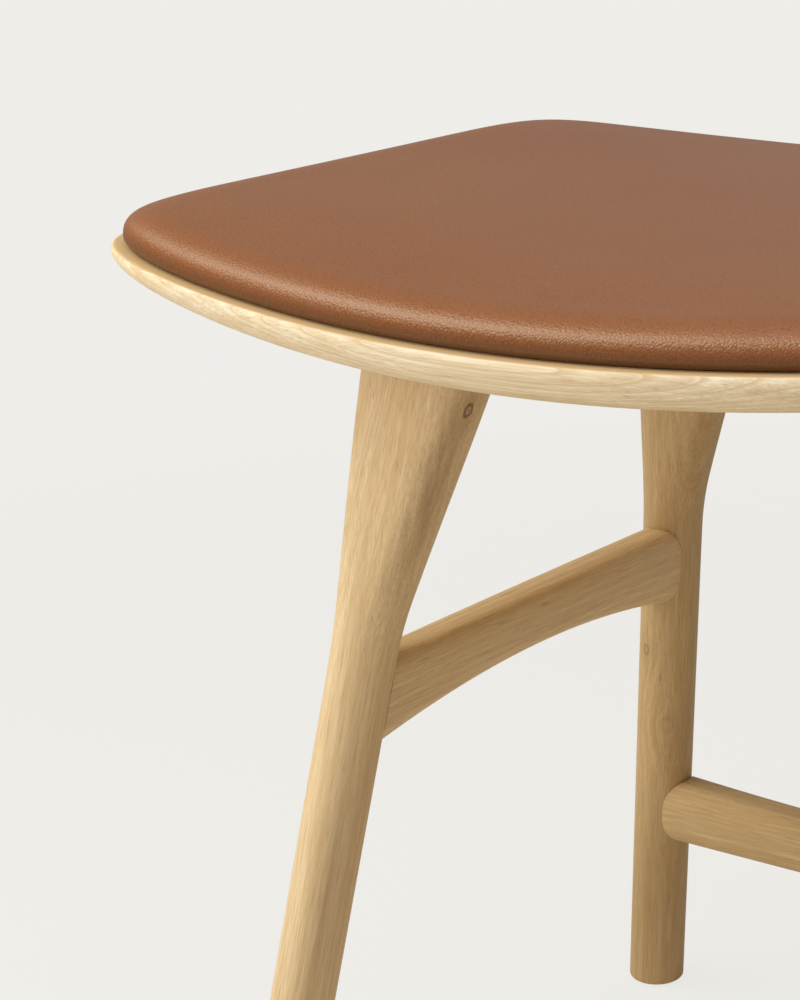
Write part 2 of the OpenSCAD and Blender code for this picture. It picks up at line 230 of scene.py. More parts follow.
# The grain parted round a knot, then what the knot lays over the wood
def knotMarks(tree, grain, knot):
    k, r, dark = knotShape, knot["radius"], knot["darkness"]
    away = addNode(tree, "ShaderNodeVectorMath", {0: grain, 1: knot["spot"]},
                   operation="SUBTRACT").outputs[0]
    shape = addNode(tree, "ShaderNodeVectorMath", {0: away, 1: (1, 1, k["slim"])},
                    operation="MULTIPLY").outputs[0]
    reach = addNode(tree, "ShaderNodeVectorMath", {0: shape},
                    operation="LENGTH").outputs["Value"]
    crooked = addNode(tree, "ShaderNodeTexNoise", {
        "Vector": away, "Scale": k["crooked"] / r, "Detail": 2.0}).outputs[0]
    bend = addNode(tree, "ShaderNodeMapRange", {
        "Value": crooked, "From Min": 0.3, "From Max": 0.7,
        "To Min": k["bend"][0], "To Max": k["bend"][1]}).outputs[0]
    reach = addNode(tree, "ShaderNodeMath", {0: reach, 1: bend}, operation="MULTIPLY").outputs[0]
    off = addNode(tree, "ShaderNodeMath", {0: reach, 1: k["rim"] * r},
                  operation="SUBTRACT").outputs[0]
    off = addNode(tree, "ShaderNodeMath", {0: off}, operation="ABSOLUTE").outputs[0]
    marks = {}
    for name, value, low, high, most in (
            ("pull", reach, 0, r * k["pulled"], -knot["pull"]),
            ("rim", off, r * k["rimClear"], r * k["rimSoft"], dark),
            ("core", reach, 0, r * k["core"], dark),
            ("halo", reach, r, r * k["halo"], dark * k["haloMark"])):
        marks[name] = addNode(tree, "ShaderNodeMapRange", {
            "Value": value, "From Min": low, "From Max": high, "To Min": most, "To Max": 0},
            interpolation_type="SMOOTHSTEP").outputs[0]
    push = addNode(tree, "ShaderNodeVectorMath", {0: away, "Scale": marks["pull"]},
                   operation="SCALE").outputs[0]
    grain = addNode(tree, "ShaderNodeVectorMath", {0: grain, 1: push},
                    operation="ADD").outputs[0]
    heart = addNode(tree, "ShaderNodeMath", {0: marks["rim"], 1: marks["core"]},
                    operation="MAXIMUM").outputs[0]
    return grain, [(marks["halo"], "pore"), (heart, "knot")]


# How dark a darker stretch makes the wood, more where there is a streak anyway; the stretches are
# veins and painted shade
def veinAndShadeMark(tree, grain, streaks, vein):
    away = addNode(tree, "ShaderNodeVectorMath", {0: grain, 1: vein["spot"]},
                   operation="SUBTRACT").outputs[0]
    rise = addNode(tree, "ShaderNodeSeparateXYZ", {0: away}).outputs[2]
    lean = addNode(tree, "ShaderNodeVectorMath", {0: (vein["slope"], 0, 0), "Scale": rise},
                   operation="SCALE").outputs[0]
    away = addNode(tree, "ShaderNodeVectorMath", {0: away, 1: lean},
                   operation="SUBTRACT").outputs[0]
    away = addNode(tree, "ShaderNodeVectorMath", {
        0: away, 1: (1 / vein["across"], 1 / vein["across"], 1 / vein["along"])},
        operation="MULTIPLY").outputs[0]
    away = addNode(tree, "ShaderNodeVectorMath", {0: away}, operation="LENGTH").outputs["Value"]
    near = addNode(tree, "ShaderNodeMapRange", {
        "Value": away, "To Min": vein["darkness"], "To Max": 0},
        interpolation_type="SMOOTHSTEP").outputs[0]
    least, most = oakFinish["veinAndShadeRange"]
    streaky = addNode(tree, "ShaderNodeMapRange", {
        "Value": streaks, "From Min": 0.35, "From Max": 0.6,
        "To Min": least, "To Max": most}).outputs[0]
    return addNode(tree, "ShaderNodeMath", {0: near, 1: streaky}, operation="MULTIPLY").outputs[0]


# Solid white oak, planed, sanded and finished with a matt oil: a pale straw tone, year
# rings that run along each piece, silky fibres, and fine dark dashes where the vessels
# were cut open. Round a knot the fibres part and the wood darkens.
def oakMaterial(name, pith, seed, knots=(), looks=None):
    f = {**oakFinish, **(looks or {})}
    material, tree, surface = newMaterial(name, f["roughness"], f["ior"])
    grain = addNode(tree, "ShaderNodeAttribute", attribute_name="grain").outputs["Vector"]
    marks = []
    for knot in knots:
        grain, more = knotMarks(tree, grain, knot)
        marks += more
    centred = addNode(tree, "ShaderNodeVectorMath", {0: grain, 1: (*pith, seed)},
                      operation="ADD").outputs[0]
    bundles = 1000 / f["fibreWidth"]
    noise = {}
    for key, across, along, detail, rough, stir in (  # across and along: per metre
            ("wander", 14, 2.6, 2, 0.5, 0),
            ("fibre", bundles * 1.2, 1000 / f["fibreLength"], 2, 0.6, 0),
            ("streaks", bundles * 0.13, 5, 3, 0.6, 0),
            ("vessels", 500 / f["poreWidth"], 1000 / f["poreLength"], 2, 0.6, 0.3),
            ("patch", 38, 6, 3, 0.55, 0)):
        place = addNode(tree, "ShaderNodeVectorMath", {0: centred, 1: (across, across, along)},
                        operation="MULTIPLY").outputs[0]
        noise[key] = addNode(tree, "ShaderNodeTexNoise", {
            "Vector": place, "Scale": 1.0, "Detail": detail, "Roughness": rough,
            "Distortion": stir}).outputs[0]

    # Rings: how far through its year the wood at each point grew
    flat = addNode(tree, "ShaderNodeVectorMath", {0: centred, 1: (1, 1, 0)},
                   operation="MULTIPLY").outputs[0]
    radius = addNode(tree, "ShaderNodeVectorMath", {0: flat}, operation="LENGTH").outputs["Value"]
    bent = addNode(tree, "ShaderNodeMath", {0: noise["wander"], 1: f["ringWander"], 2: radius},
                   operation="MULTIPLY_ADD").outputs[0]
    years = addNode(tree, "ShaderNodeMath", {0: bent, 1: 1000 / f["ringWidth"]},
                    operation="MULTIPLY").outputs[0]
    season = addNode(tree, "ShaderNodeMath", {0: years}, operation="FRACT").outputs[0]
    early = addNode(tree, "ShaderNodeValToRGB", {0: season})
    ramp, turn = early.color_ramp.elements, f["turnOfYear"]
    for end in ramp:
        end.color = (turn, turn, turn, 1)
    for place, share in f["spring"]:
        ramp.new(place).color = (share, share, share, 1)
    early = early.outputs[0]

    level = addNode(tree, "ShaderNodeMapRange", {
        "Value": early, "To Min": f["poreLevel"][0], "To Max": f["poreLevel"][1]}).outputs[0]
    above = addNode(tree, "ShaderNodeMath", {0: noise["vessels"], 1: level},
                    operation="SUBTRACT").outputs[0]
    pores = addNode(tree, "ShaderNodeMapRange", {"Value": above, "From Max": 0.14}).outputs[0]

    # Each layer: what it follows, from and to, its share there, and the tone that it lays over
    layers = [(noise["patch"], 0.32, 0.68, 0, 1, "light"),
              (early, 0, 1, 0, f["springMark"], "late"),
              (season, 0.72, 1, 0, f["ringMark"], "late"),
              (noise["streaks"], 0.38, 0.66, 0, f["streakMark"], "late"),
              (noise["fibre"], 0.36, 0.6, f["fibreMark"], 0, "late"),
              (pores, 0, 1, 0, f["poreMark"], "pore")]
    layers += [(veinAndShadeMark(tree, grain, noise["streaks"], vein), 0, 1, 0, 1, "pore")
               for vein in f["veinsAndShade"]]
    # Painted shade: the upper face darkened towards the late tone
    if f["topShadeMark"]:
        face = addNode(tree, "ShaderNodeAttribute", attribute_name="face").outputs["Fac"]
        layers.append((face, 0, 1, 0, f["topShadeMark"], "late"))
    layers += [(mark, 0, 1, 0, 1, over) for mark, over in marks]
    base = tone(f["middle"])
    for value, low, high, start, end, over in layers:
        share = addNode(tree, "ShaderNodeMapRange", {
            "Value": value, "From Min": low, "From Max": high,
            "To Min": start, "To Max": end}).outputs[0]
        base = addNode(tree, "ShaderNodeMix", {0: share, 6: base, 7: tone(f[over])},
                       data_type="RGBA").outputs[2]
    bump = addNode(tree, "ShaderNodeBump", {
        "Strength": 0.25, "Distance": f["poreDepth"] * mm, "Height": pores},
        invert=True).outputs[0]
    tree.links.new(base, surface.inputs["Base Color"])
    tree.links.new(bump, surface.inputs["Normal"])
    return material


leatherFinish = {
    "tone": "#8F4D0A",
    "worn": "#935312",
    "deep": "#6A3A10",    # between the pebbles
    "foot": "#4F2C0C",    # painted shade on the lower part of the side, where it turns under
    "clouds": 9,          # patches of worn tone in a metre
    "grainSize": 0.95,    # mm across one pebble of the grain
    "grainDepth": 0.17,   # mm
    "grainStir": 0.25,    # how far the pebbles are pushed about, as a share of their size
    "deepMark": 0.45,     # how clearly the tone between the pebbles shows
    "poreSize": 0.45,     # mm across the finer grain on the pebbles
    "poreDepth": 0.1,     # mm
    "creaseSize": 6.0,    # mm between the soft creases
    "creaseDepth": 0.1,   # mm
    "roughness": 0.34,
    "ior": 1.58,
}


# Aniline-dyed cowhide with a light wax finish: warm saddle brown, a soft sheen where it turns over
# the edge, and a fine irregular pebble grain. The foot of the side is painted darker: painted
# shade.
def leatherMaterial():
    f = leatherFinish
    material, tree, surface = newMaterial("saddleLeather", f["roughness"], f["ior"])
    place = addNode(tree, "ShaderNodeTexCoord").outputs["Object"]
    stir = addNode(tree, "ShaderNodeTexNoise", {
        "Vector": place, "Scale": 500 / f["grainSize"], "Detail": 2.0}).outputs["Color"]
    stirred = addNode(tree, "ShaderNodeVectorMath", {
        0: stir, 1: (f["grainSize"] * f["grainStir"] * mm,) * 3, 2: place},
        operation="MULTIPLY_ADD").outputs[0]
    pebble = addNode(tree, "ShaderNodeTexVoronoi", {
        "Vector": stirred, "Scale": 1000 / f["grainSize"], "Randomness": 1.0},
        feature="F1").outputs["Distance"]
    pores = addNode(tree, "ShaderNodeTexNoise", {
        "Vector": place, "Scale": 1000 / f["poreSize"], "Detail": 2.0,
        "Roughness": 0.6}).outputs[0]
    crease = addNode(tree, "ShaderNodeTexNoise", {
        "Vector": place, "Scale": 1000 / f["creaseSize"], "Detail": 6.0, "Roughness": 0.62,
        "Distortion": 0.6}).outputs[0]
    cloud = addNode(tree, "ShaderNodeTexNoise", {
        "Vector": place, "Scale": f["clouds"], "Detail": 4.0, "Roughness": 0.6}).outputs[0]
    foot = addNode(tree, "ShaderNodeAttribute", attribute_name="foot").outputs["Fac"]
    base = tone(f["tone"])
    # The last layer is painted shade: the side darkens towards its foot
    for value, low, high, most, over in (
            (cloud, 0.35, 0.7, 1, "worn"), (pebble, 0.35, 0.75, f["deepMark"], "deep"),
            (foot, 0, 1, 1, "foot")):
        share = addNode(tree, "ShaderNodeMapRange", {
            "Value": value, "From Min": low, "From Max": high, "To Max": most}).outputs[0]
        base = addNode(tree, "ShaderNodeMix", {0: share, 6: base, 7: tone(f[over])},
                       data_type="RGBA").outputs[2]
    relief = addNode(tree, "ShaderNodeBump", {
        "Strength": 0.5, "Distance": f["creaseDepth"] * mm, "Height": crease}).outputs[0]
    relief = addNode(tree, "ShaderNodeBump", {
        "Strength": 0.8, "Distance": f["grainDepth"] * mm, "Height": pebble,
        "Normal": relief}, invert=True).outputs[0]
    relief = addNode(tree, "ShaderNodeBump", {
        "Strength": 0.25, "Distance": f["poreDepth"] * mm, "Height": pores,
        "Normal": relief}).outputs[0]
    tree.links.new(base, surface.inputs["Base Color"])
    tree.links.new(relief, surface.inputs["Normal"])
    return material


# Finishes with one pattern. Its two tones, how many times it repeats in a metre along x, y
# and z, and the strength and depth in millimetres of its relief.
plainFinishes = {
    # Raw plywood: pale faces with a faint grain, seen only if the cushion is taken off
    "birchPlywood": {"tones": ("#CBAA7A", "#E3CDA4"), "perMetre": (8, 160, 400), "detail": 4,
                     "roughness": 0.7, "ior": 1.45},
    # Turned dowels, hidden in their bores: the same pale wood, close grained
    "beechDowel": {"tones": ("#CBAA7A", "#E3CDA4"), "perMetre": (8, 160, 400), "detail": 4,
                   "roughness": 0.7, "ior": 1.45},
    # Cut foam: matt, with open cells 0.8 mm across
    "polyurethaneFoam": {"tones": ("#C9BF9E", "#EFE7CB"), "perMetre": (1300,) * 3,
                         "pattern": "ShaderNodeTexVoronoi", "relief": (0.5, 0.4),
                         "roughness": 0.95, "ior": 1.4},
    # Turned and zinc plated: a cool bright grey with faint marks of the tool, 1.1 mm apart
    "zincPlatedSteel": {"tones": ("#B4B6B8", "#D9D9D6"), "perMetre": (900,) * 3, "detail": 3,
                        "relief": (0.15, 0.1), "roughness": 0.34, "metallic": 1},
    # Turned brass, unpolished: a soft yellow with the same marks
    "brassInsert": {"tones": ("#C3A25A", "#D9D9D6"), "perMetre": (900,) * 3, "detail": 3,
                    "relief": (0.15, 0.1), "roughness": 0.34, "metallic": 1},
    # Injection moulded: warm dark grey with a fine spark texture, 0.4 mm across
    "mouldedPolyethylene": {"tones": ("#463D35", "#544A41"), "perMetre": (2500,) * 3,
                            "detail": 2, "relief": (0.2, 0.1), "roughness": 0.5, "ior": 1.51},
}


def plainMaterial(name):
    f = plainFinishes[name]
    material, tree, surface = newMaterial(name, f["roughness"], f.get("ior", 1.5))
    surface.inputs["Metallic"].default_value = f.get("metallic", 0)
    place = addNode(tree, "ShaderNodeTexCoord").outputs["Object"]
    place = addNode(tree, "ShaderNodeMapping", {
        "Vector": place, "Scale": f["perMetre"]}).outputs[0]
    pattern = addNode(tree, f.get("pattern", "ShaderNodeTexNoise"), {
        "Vector": place, "Scale": 1.0, "Detail": f.get("detail", 0)}).outputs[0]
    low, high = f["tones"]
    base = addNode(tree, "ShaderNodeMix", {0: pattern, 6: tone(low), 7: tone(high)},
                   data_type="RGBA").outputs[2]
    tree.links.new(base, surface.inputs["Base Color"])
    if "relief" in f:
        strength, depth = f["relief"]
        bump = addNode(tree, "ShaderNodeBump", {
            "Strength": strength, "Distance": depth * mm, "Height": pattern}).outputs[0]
        tree.links.new(bump, surface.inputs["Normal"])
    return material


def giveGrain(piece, place):  # place turns a point in mm into (across, across, along) in metres
    layer = piece.data.attributes.new("grain", "FLOAT_VECTOR", "POINT")
    for v in piece.data.vertices:
        layer.data[v.index].vector = [c * mm for c in place(*(v.co / mm))]


def dress(piece, material, edge):  # edge: degrees beyond which a fold looks sharp
    piece.data.materials.clear()
    piece.data.materials.append(material)
    piece.data.shade_smooth()
    piece.data.set_sharp_from_angle(angle=radians(edge))
    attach(piece, "root")


# Seat: a panel curled up towards its ends and thinned there

seat = {
    "width": 486, "depth": 404, "height": 435,
    "bow": 42.5, "curl": 18,
    "middleThickness": 15.4, "endThickness": 9.5,
    "corner": 12.5, "upperRound": 2, "lowerRound": 13,
    "edgeShare": 0.75,  # share of the thickness at which the edge reaches out furthest
    "points": 224,
    "crowding": 12,     # degrees by which points gather in the four corners
    "faceRings": 8, "lowerRings": 12, "upperRings": 6,
    "topShadeDepth": 0.4,   # mm below the top to which the painted shade of the upper face reaches
    "pith": (0.02, 0.115), "seed": 0.31,
    "looks": {"light": "#F8E9CE", "middle": "#F2DEB9", "late": "#C6A06E",
              "ringWidth": 2.4, "ringMark": 0.6, "fibreLength": 45, "fibreMark": 0.4,
              "topShadeMark": 0.9},
}
halfWidth, halfDepth = seat["width"] / 2, seat["depth"] / 2


def endShare(x):
    return (x / halfWidth) ** 2


def seatTop(x):
    return seat["height"] + seat["curl"] * endShare(x)


def seatThickness(x):
    return seat["middleThickness"] + (seat["endThickness"] - seat["middleThickness"]) * endShare(x)


def seatUnder(x):
    return seatTop(x) - seatThickness(x)


def seatRim(angle, inset):
    x, y = roundSquare(angle, seat["corner"])
    x *= halfWidth - inset
    return x, y * (halfDepth - inset - seat["bow"] * endShare(x))


def rimAngles(count):
    turns = [radians(360 * i / count) for i in range(count)]
    return [t + radians(seat["crowding"]) * sin(4 * t) for t in turns]


# The flat plan of a panel goes in. Level is the share of the thickness at which a point lies,
# and lift how far it stands above the panel's top.
def dishedPanelTree():
    tree = bpy.data.node_groups.new("dishedPanel", "GeometryNodeTree")
    tree.is_modifier = True
    tree.interface.new_socket("Geometry", in_out="INPUT", socket_type="NodeSocketGeometry")
    for name in ("Half width", "Height", "Curl", "Middle thickness", "End thickness"):
        socket = tree.interface.new_socket(name, in_out="INPUT", socket_type="NodeSocketFloat")
        socket.subtype = "DISTANCE"
    tree.interface.new_socket("Material", in_out="INPUT", socket_type="NodeSocketMaterial")
    tree.interface.new_socket("Geometry", in_out="OUTPUT", socket_type="NodeSocketGeometry")
    given = addNode(tree, "NodeGroupInput").outputs
    named = {key: addNode(tree, "GeometryNodeInputNamedAttribute", {"Name": key},
                          data_type="FLOAT").outputs[0] for key in ("level", "lift")}
    place = addNode(tree, "GeometryNodeInputPosition").outputs[0]
    parts = addNode(tree, "ShaderNodeSeparateXYZ", {0: place}).outputs
    share = addNode(tree, "ShaderNodeMath", {0: parts[0], 1: given["Half width"]},
                    operation="DIVIDE").outputs[0]
    share = addNode(tree, "ShaderNodeMath", {0: share, 1: 2.0}, operation="POWER").outputs[0]
    top = addNode(tree, "ShaderNodeMath", {0: share, 1: given["Curl"], 2: given["Height"]},
                  operation="MULTIPLY_ADD").outputs[0]
    thinning = addNode(tree, "ShaderNodeMath", {
        0: given["End thickness"], 1: given["Middle thickness"]}, operation="SUBTRACT").outputs[0]
    thickness = addNode(tree, "ShaderNodeMath", {
        0: thinning, 1: share, 2: given["Middle thickness"]}, operation="MULTIPLY_ADD").outputs[0]
    below = addNode(tree, "ShaderNodeMath", {0: named["level"], 1: 1.0},
                    operation="SUBTRACT").outputs[0]
    rise = addNode(tree, "ShaderNodeMath", {0: below, 1: thickness, 2: named["lift"]},
                   operation="MULTIPLY_ADD").outputs[0]
    z = addNode(tree, "ShaderNodeMath", {0: top, 1: rise}, operation="ADD").outputs[0]
    moved = addNode(tree, "ShaderNodeCombineXYZ", {0: parts[0], 1: parts[1], 2: z}).outputs[0]
    shaped = addNode(tree, "GeometryNodeSetPosition", {
        "Geometry": given["Geometry"], "Position": moved}).outputs[0]
    real = addNode(tree, "GeometryNodeRealizeInstances", {"Geometry": shaped}).outputs[0]
    done = addNode(tree, "GeometryNodeSetMaterial", {
        "Geometry": real, "Material": given["Material"]}).outputs[0]
    addNode(tree, "NodeGroupOutput", {0: done})
    return tree


dishedPanel = dishedPanelTree()


# Rings are (inset, level, lift, size): inset from the seat's outline, then scaled by size
def panelPiece(name, rings, points, material, closed=True):
    plan = [[tuple(size * c for c in seatRim(a, inset)) + (0,) for a in rimAngles(points)]
            for inset, _, _, size in rings]
    piece = loft(name, plan, (0, 0, 0) if closed else None, (0, 0, 0))
    ends = [rings[0][1:3], rings[-1][1:3]] if closed else [rings[-1][1:3]]
    for key, column in (("level", 0), ("lift", 1)):
        layer = piece.data.attributes.new(key, "FLOAT", "POINT")
        values = [ring[1 + column] for ring in rings for i in range(points)]
        values += [end[column] for end in ends]
        layer.data.foreach_set("value", [v * mm if key == "lift" else v for v in values])
    modifier = piece.modifiers.new("dish", "NODES")
    modifier.node_group = dishedPanel
    sizes = {"Half width": halfWidth * mm, "Height": seat["height"] * mm,
             "Curl": seat["curl"] * mm, "Middle thickness": seat["middleThickness"] * mm,
             "End thickness": seat["endThickness"] * mm, "Material": material}
    for item in dishedPanel.interface.items_tree:
        if item.in_out == "INPUT" and item.name in sizes:
            modifier[item.identifier] = sizes[item.name]
    applied(piece)
    for key in ("level", "lift"):
        piece.data.attributes.remove(piece.data.attributes[key])
    return piece


def quarterTurn(steps):
    return [radians(90 * k / steps) for k in range(steps + 1)]


def seatRings():
    s, share, count = seat, seat["edgeShare"], seat["faceRings"]
    faceSizes = [k / count for k in range(1, count)]
    return ([(s["lowerRound"], 0, 0, size) for size in faceSizes]
            + [(s["lowerRound"] * (1 - sin(a)), share * (1 - cos(a)), 0, 1)
               for a in quarterTurn(s["lowerRings"])]
            + [(s["upperRound"] * (1 - cos(a)), share + (1 - share) * sin(a), 0, 1)
               for a in quarterTurn(s["upperRings"])[1:]]
            + [(s["upperRound"], 1, 0, size) for size in reversed(faceSizes)])


# Legs: round below, swelling into a soft square head under the seat

leg = {
    "radius": 14.4, "footX": 181.5, "footY": 160, "leanX": 9.3, "leanY": 8.7,
    "head": 148, "ease": 29, "inX": 27, "outX": 6.5, "inY": 3, "outY": 5,
    "square": 3, "foot": 1, "footRound": 2.5,
    "joint": 0.05,  # the tight joint at the seat and the rails
    "points": 72, "footRings": 6, "headRings": 28,
    "shaftRings": (20, 22),  # mm above the floor of the first, and between one and the next
}
headTop = seat["height"] - seat["middleThickness"]
headStart = headTop - leg["head"]


def legX(z):
    return leg["footX"] - tan(radians(leg["leanX"])) * z


def legY(z):
    return leg["footY"] - tan(radians(leg["leanY"])) * z


def swellRun(rise):
    ease = leg["ease"]
    return max(0, rise) ** 2 / (2 * ease) if rise < ease else rise - ease / 2


def legReach(key, z):
    return leg["radius"] + leg[key] * swellRun(z - headStart) / swellRun(leg["head"])


def legSquare(z):
    t = min(1, max(0, (z - headStart) / (leg["head"] - leg["ease"])))
    return 2 + (leg["square"] - 2) * t * t * (3 - 2 * t)


def legRing(z, share=0, inset=0):
    ring = []
    for i in range(leg["points"]):
        x, y = roundSquare(radians(360 * i / leg["points"]), legSquare(z))
        x = legX(z) + x * (legReach("inX" if x < 0 else "outX", z) - inset)
        y = legY(z) + y * (legReach("inY" if y < 0 else "outY", z) - inset)
        ring.append((x, y, z + share * (seatUnder(x) - seatUnder(legX(headTop)))))
    return ring


def legFaceY(x, z):  # where the leg's side towards the side rail lies
    off = x - legX(z)
    return legY(z) - roundSquareAt(off, legReach("inX" if off < 0 else "outX", z),
                                   legReach("inY", z), legSquare(z))


def legFaceX(y, z):
    off = y - legY(z)
    return legX(z) - roundSquareAt(off, legReach("inY" if off < 0 else "outY", z),
                                   legReach("inX", z), legSquare(z))


def makeLeg(name):
    topZ = seatUnder(legX(headTop)) - leg["joint"]
    count, (first, step) = leg["headRings"], leg["shaftRings"]
    foot = [legRing(leg["foot"] + leg["footRound"] * (1 - cos(a)), 0,
                    leg["footRound"] * (1 - sin(a))) for a in quarterTurn(leg["footRings"])]
    shaft = [legRing(z) for z in range(first, int(headStart), step)]
    head = [legRing(headStart + k / count * (topZ - headStart), k / count)
            for k in range(count + 1)]
    return loft(name, foot + shaft + head,
                (legX(leg["foot"]), legY(leg["foot"]), leg["foot"]),
                (legX(headTop), legY(topZ), topZ))


# Rails: two at the sides, arched below, and a low one at the back, dipped above

sideRail = {"top": 274, "thickness": 23.2, "endDepth": 40, "middleDepth": 28.5, "square": 3.4}
backRail = {"base": 93, "thickness": 25, "endDepth": 36, "middleDepth": 30.5, "square": 3}
railShape = {
    "points": 56, "steps": 14, "endRings": (0.25, 0.5, 0.75, 0.88), "easingRings": 4,
    "easing": 0.9,  # mm taken off the edge round each end
    "half": 15,     # mm, about half the section, which the easing is a share of
}


def railDepth(rail, along):
    return rail["middleDepth"] + (rail["endDepth"] - rail["middleDepth"]) * along * along


def sidePoint(angle, along, size):
    x, y = (size * c for c in roundSquare(angle, sideRail["square"]))
    depth = railDepth(sideRail, along)
    z = sideRail["top"] - depth / 2 + y * depth / 2
    x = legX(z) + x * sideRail["thickness"] / 2
    return x, along * (legFaceY(x, z) - leg["joint"]), z


def backPoint(angle, along, size):
    x, y = (size * c for c in roundSquare(angle, backRail["square"]))
    depth = railDepth(backRail, along)
    z = backRail["base"] + depth / 2 + y * depth / 2
    y = legY(z) + x * backRail["thickness"] / 2
    return along * (legFaceX(y, z) - leg["joint"]), y, z


def makeRail(name, point, start):
    r = railShape
    turns = [radians(360 * i / r["points"]) for i in range(r["points"])]
    steps, easing = r["steps"], r["easing"]
    half = abs(point(0, 1, 0)[0 if start < 0 else 1])
    end = [(1, size) for size in r["endRings"]]
    end += [(1 - easing / half * (1 - cos(t)), 1 - easing / r["half"] * (1 - sin(t)))
            for t in quarterTurn(r["easingRings"])]
    stations = [(k / steps, 1) for k in range(1 - steps, steps)]
    path = ([(start * along, size) for along, size in end]
            + [(-start * along, size) for along, size in stations]
            + [(-start * along, size) for along, size in reversed(end)])
    rings = [[point(a, along, size) for a in turns] for along, size in path]
    return loft(name, rings, point(0, start, 0), point(0, -start, 0))


# Dowels are the model's own: their bores are cut again, with the same play

fixing = {
    "dowelRadius": 4.05, "spare": 0.5,
    "seatUp": 8.5, "seatDown": 20, "seatPitch": 21,
    "railReach": 15, "railPitch": 15,
    "screwX": 150, "screwY": 70, "screwSink": 1, "screwHead": 3,
    "headRadius": 4.75, "shankRadius": 2.75, "glideRadius": 8.55, "glideDepth": 3.05,
    "past": 1,  # mm that a bore runs on past the face it opens in
}


def seatBores():
    f = fixing
    middle = legX(headTop) - (legReach("inX", headTop) - legReach("outX", headTop)) / 2
    for side in (-1, 1):
        x = middle + side * f["seatPitch"] / 2
        z = seatUnder(x)
        yield ((x, legY(headTop), z - f["seatDown"] - f["spare"]),
               (x, legY(headTop), z + f["seatUp"] + f["spare"]), f["dowelRadius"])


def sideBores():
    f = fixing
    for side in (-1, 1):
        z = sideRail["top"] - sideRail["endDepth"] / 2 + side * f["railPitch"] / 2
        y, reach = legFaceY(legX(z), z), f["railReach"] + f["spare"]
        yield (legX(z), y + reach, z), (legX(z), y - reach, z), f["dowelRadius"]


def backBores():
    f = fixing
    for side in (-1, 1):
        z = backRail["base"] + backRail["endDepth"] / 2 + side * f["railPitch"] / 2
        x, reach = legFaceX(legY(z), z), f["railReach"] + f["spare"]
        yield (x - reach, legY(z), z), (x + reach, legY(z), z), f["dowelRadius"]


def screwBores():
    f = fixing
    x, y = f["screwX"], f["screwY"]
    base = seatUnder(x) + f["screwSink"]
    yield (x, y, seatUnder(x) - f["past"]), (x, y, base + f["screwHead"]), f["headRadius"]
    yield (x, y, base), (x, y, base + seatThickness(x) + f["past"]), f["shankRadius"]


def glideBores():
    x, y = legX(leg["foot"]), legY(leg["foot"])
    yield (x, y, -fixing["past"]), (x, y, fixing["glideDepth"]), fixing["glideRadius"]


def atCorner(bores, sideX, sideY):
    return [((a[0] * sideX, a[1] * sideY, a[2]), (b[0] * sideX, b[1] * sideY, b[2]), r)
            for a, b, r in bores]


corners = [(x, y) for x in (-1, 1) for y in (-1, 1)]


def makeSeat():
    material = oakMaterial("oiledOakSeat", seat["pith"], seat["seed"], looks=seat["looks"])
    piece = panelPiece("seatPanel", seatRings(), seat["points"], material)
    drill(piece, [b for x, y in corners for b in atCorner([*seatBores(), *screwBores()], x, y)])
    giveGrain(piece, lambda x, y, z: (y, z - seat["height"], x))
    # The upper face, which the seat's material darkens as painted shade
    face = piece.data.attributes.new("face", "FLOAT", "POINT")
    for v in piece.data.vertices:
        upper = v.co.z / mm > seatTop(v.co.x / mm) - seat["topShadeDepth"]
        face.data[v.index].value = 1 if upper else 0
    dress(piece, material, 35)
    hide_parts("seat_shell")


makeSeat()
print("seat panel made")

# The pith's place and a start along the grain for each, so that no two are alike
# Painted light and shade: the front left leg is toned lighter than the plain oak, the back left
# leg darker
legLooks = {
    "frontLeftLeg": {
        "node": "front_left_leg", "corner": (-1, -1), "pith": (0.028, 0.052), "seed": 0.0,
        "looks": {
            "light": "#F2DAB4", "middle": "#E9CC9F", "late": "#C9A473",
            # Two darker stretches towards the inner side: one round and below the knot, one lower
            # down
            "veinsAndShade": ({"spot": (0.0265, -0.010, 0.352), "slope": 0.23, "across": 0.012,
                       "along": 0.07, "darkness": 0.5},
                      {"spot": (0.0115, -0.009, 0.17), "slope": 0.02, "across": 0.013,
                       "along": 0.115, "darkness": 0.34})},
        "knots": [{"spot": (0.0349, -0.0052, 0.3858), "radius": 0.0023, "pull": 0.5,
                   "darkness": 0.75}]},
    "backLeftLeg": {
        "node": "back_left_leg", "corner": (-1, 1), "pith": (0.047, -0.031), "seed": 1.7,
        "looks": {
            "light": "#D6BA8E", "middle": "#CCAA7A", "late": "#B18C5A",
            # Painted shade: the leg darkens towards its foot
            "veinsAndShade": ({"spot": (0.004, -0.010, 0.05), "slope": 0, "across": 0.036,
                       "along": 0.11, "darkness": 0.36},)},
        "knots": [{"spot": (-0.0043, -0.0137, 0.2059), "radius": 0.0022, "pull": 0.6,
                   "darkness": 0.35},
                  {"spot": (0.0090, -0.0130, 0.1640), "radius": 0.0040, "pull": 0.7,
                   "darkness": 0.12}]},
    "backRightLeg": {
        "node": "back_right_leg", "corner": (1, 1), "pith": (-0.052, 0.024), "seed": 3.1},
    "frontRightLeg": {
        "node": "front_right_leg", "corner": (1, -1), "pith": (0.036, 0.049), "seed": 4.6},
}

for name, look in legLooks.items():
    sideX, sideY = look["corner"]
    piece = mirrored(makeLeg(name), sideX, sideY)
    bores = [*seatBores(), *sideBores(), *(backBores() if sideY > 0 else ()), *glideBores()]
    drill(piece, atCorner(bores, sideX, sideY))
    giveGrain(piece, lambda x, y, z: (x - sideX * legX(z), y - sideY * legY(z), z))
    material = oakMaterial("oiledOak" + name[0].upper() + name[1:], look["pith"], look["seed"],
                           look.get("knots", ()), look.get("looks"))
    dress(piece, material, 35)
    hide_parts(look["node"])
print("legs made")

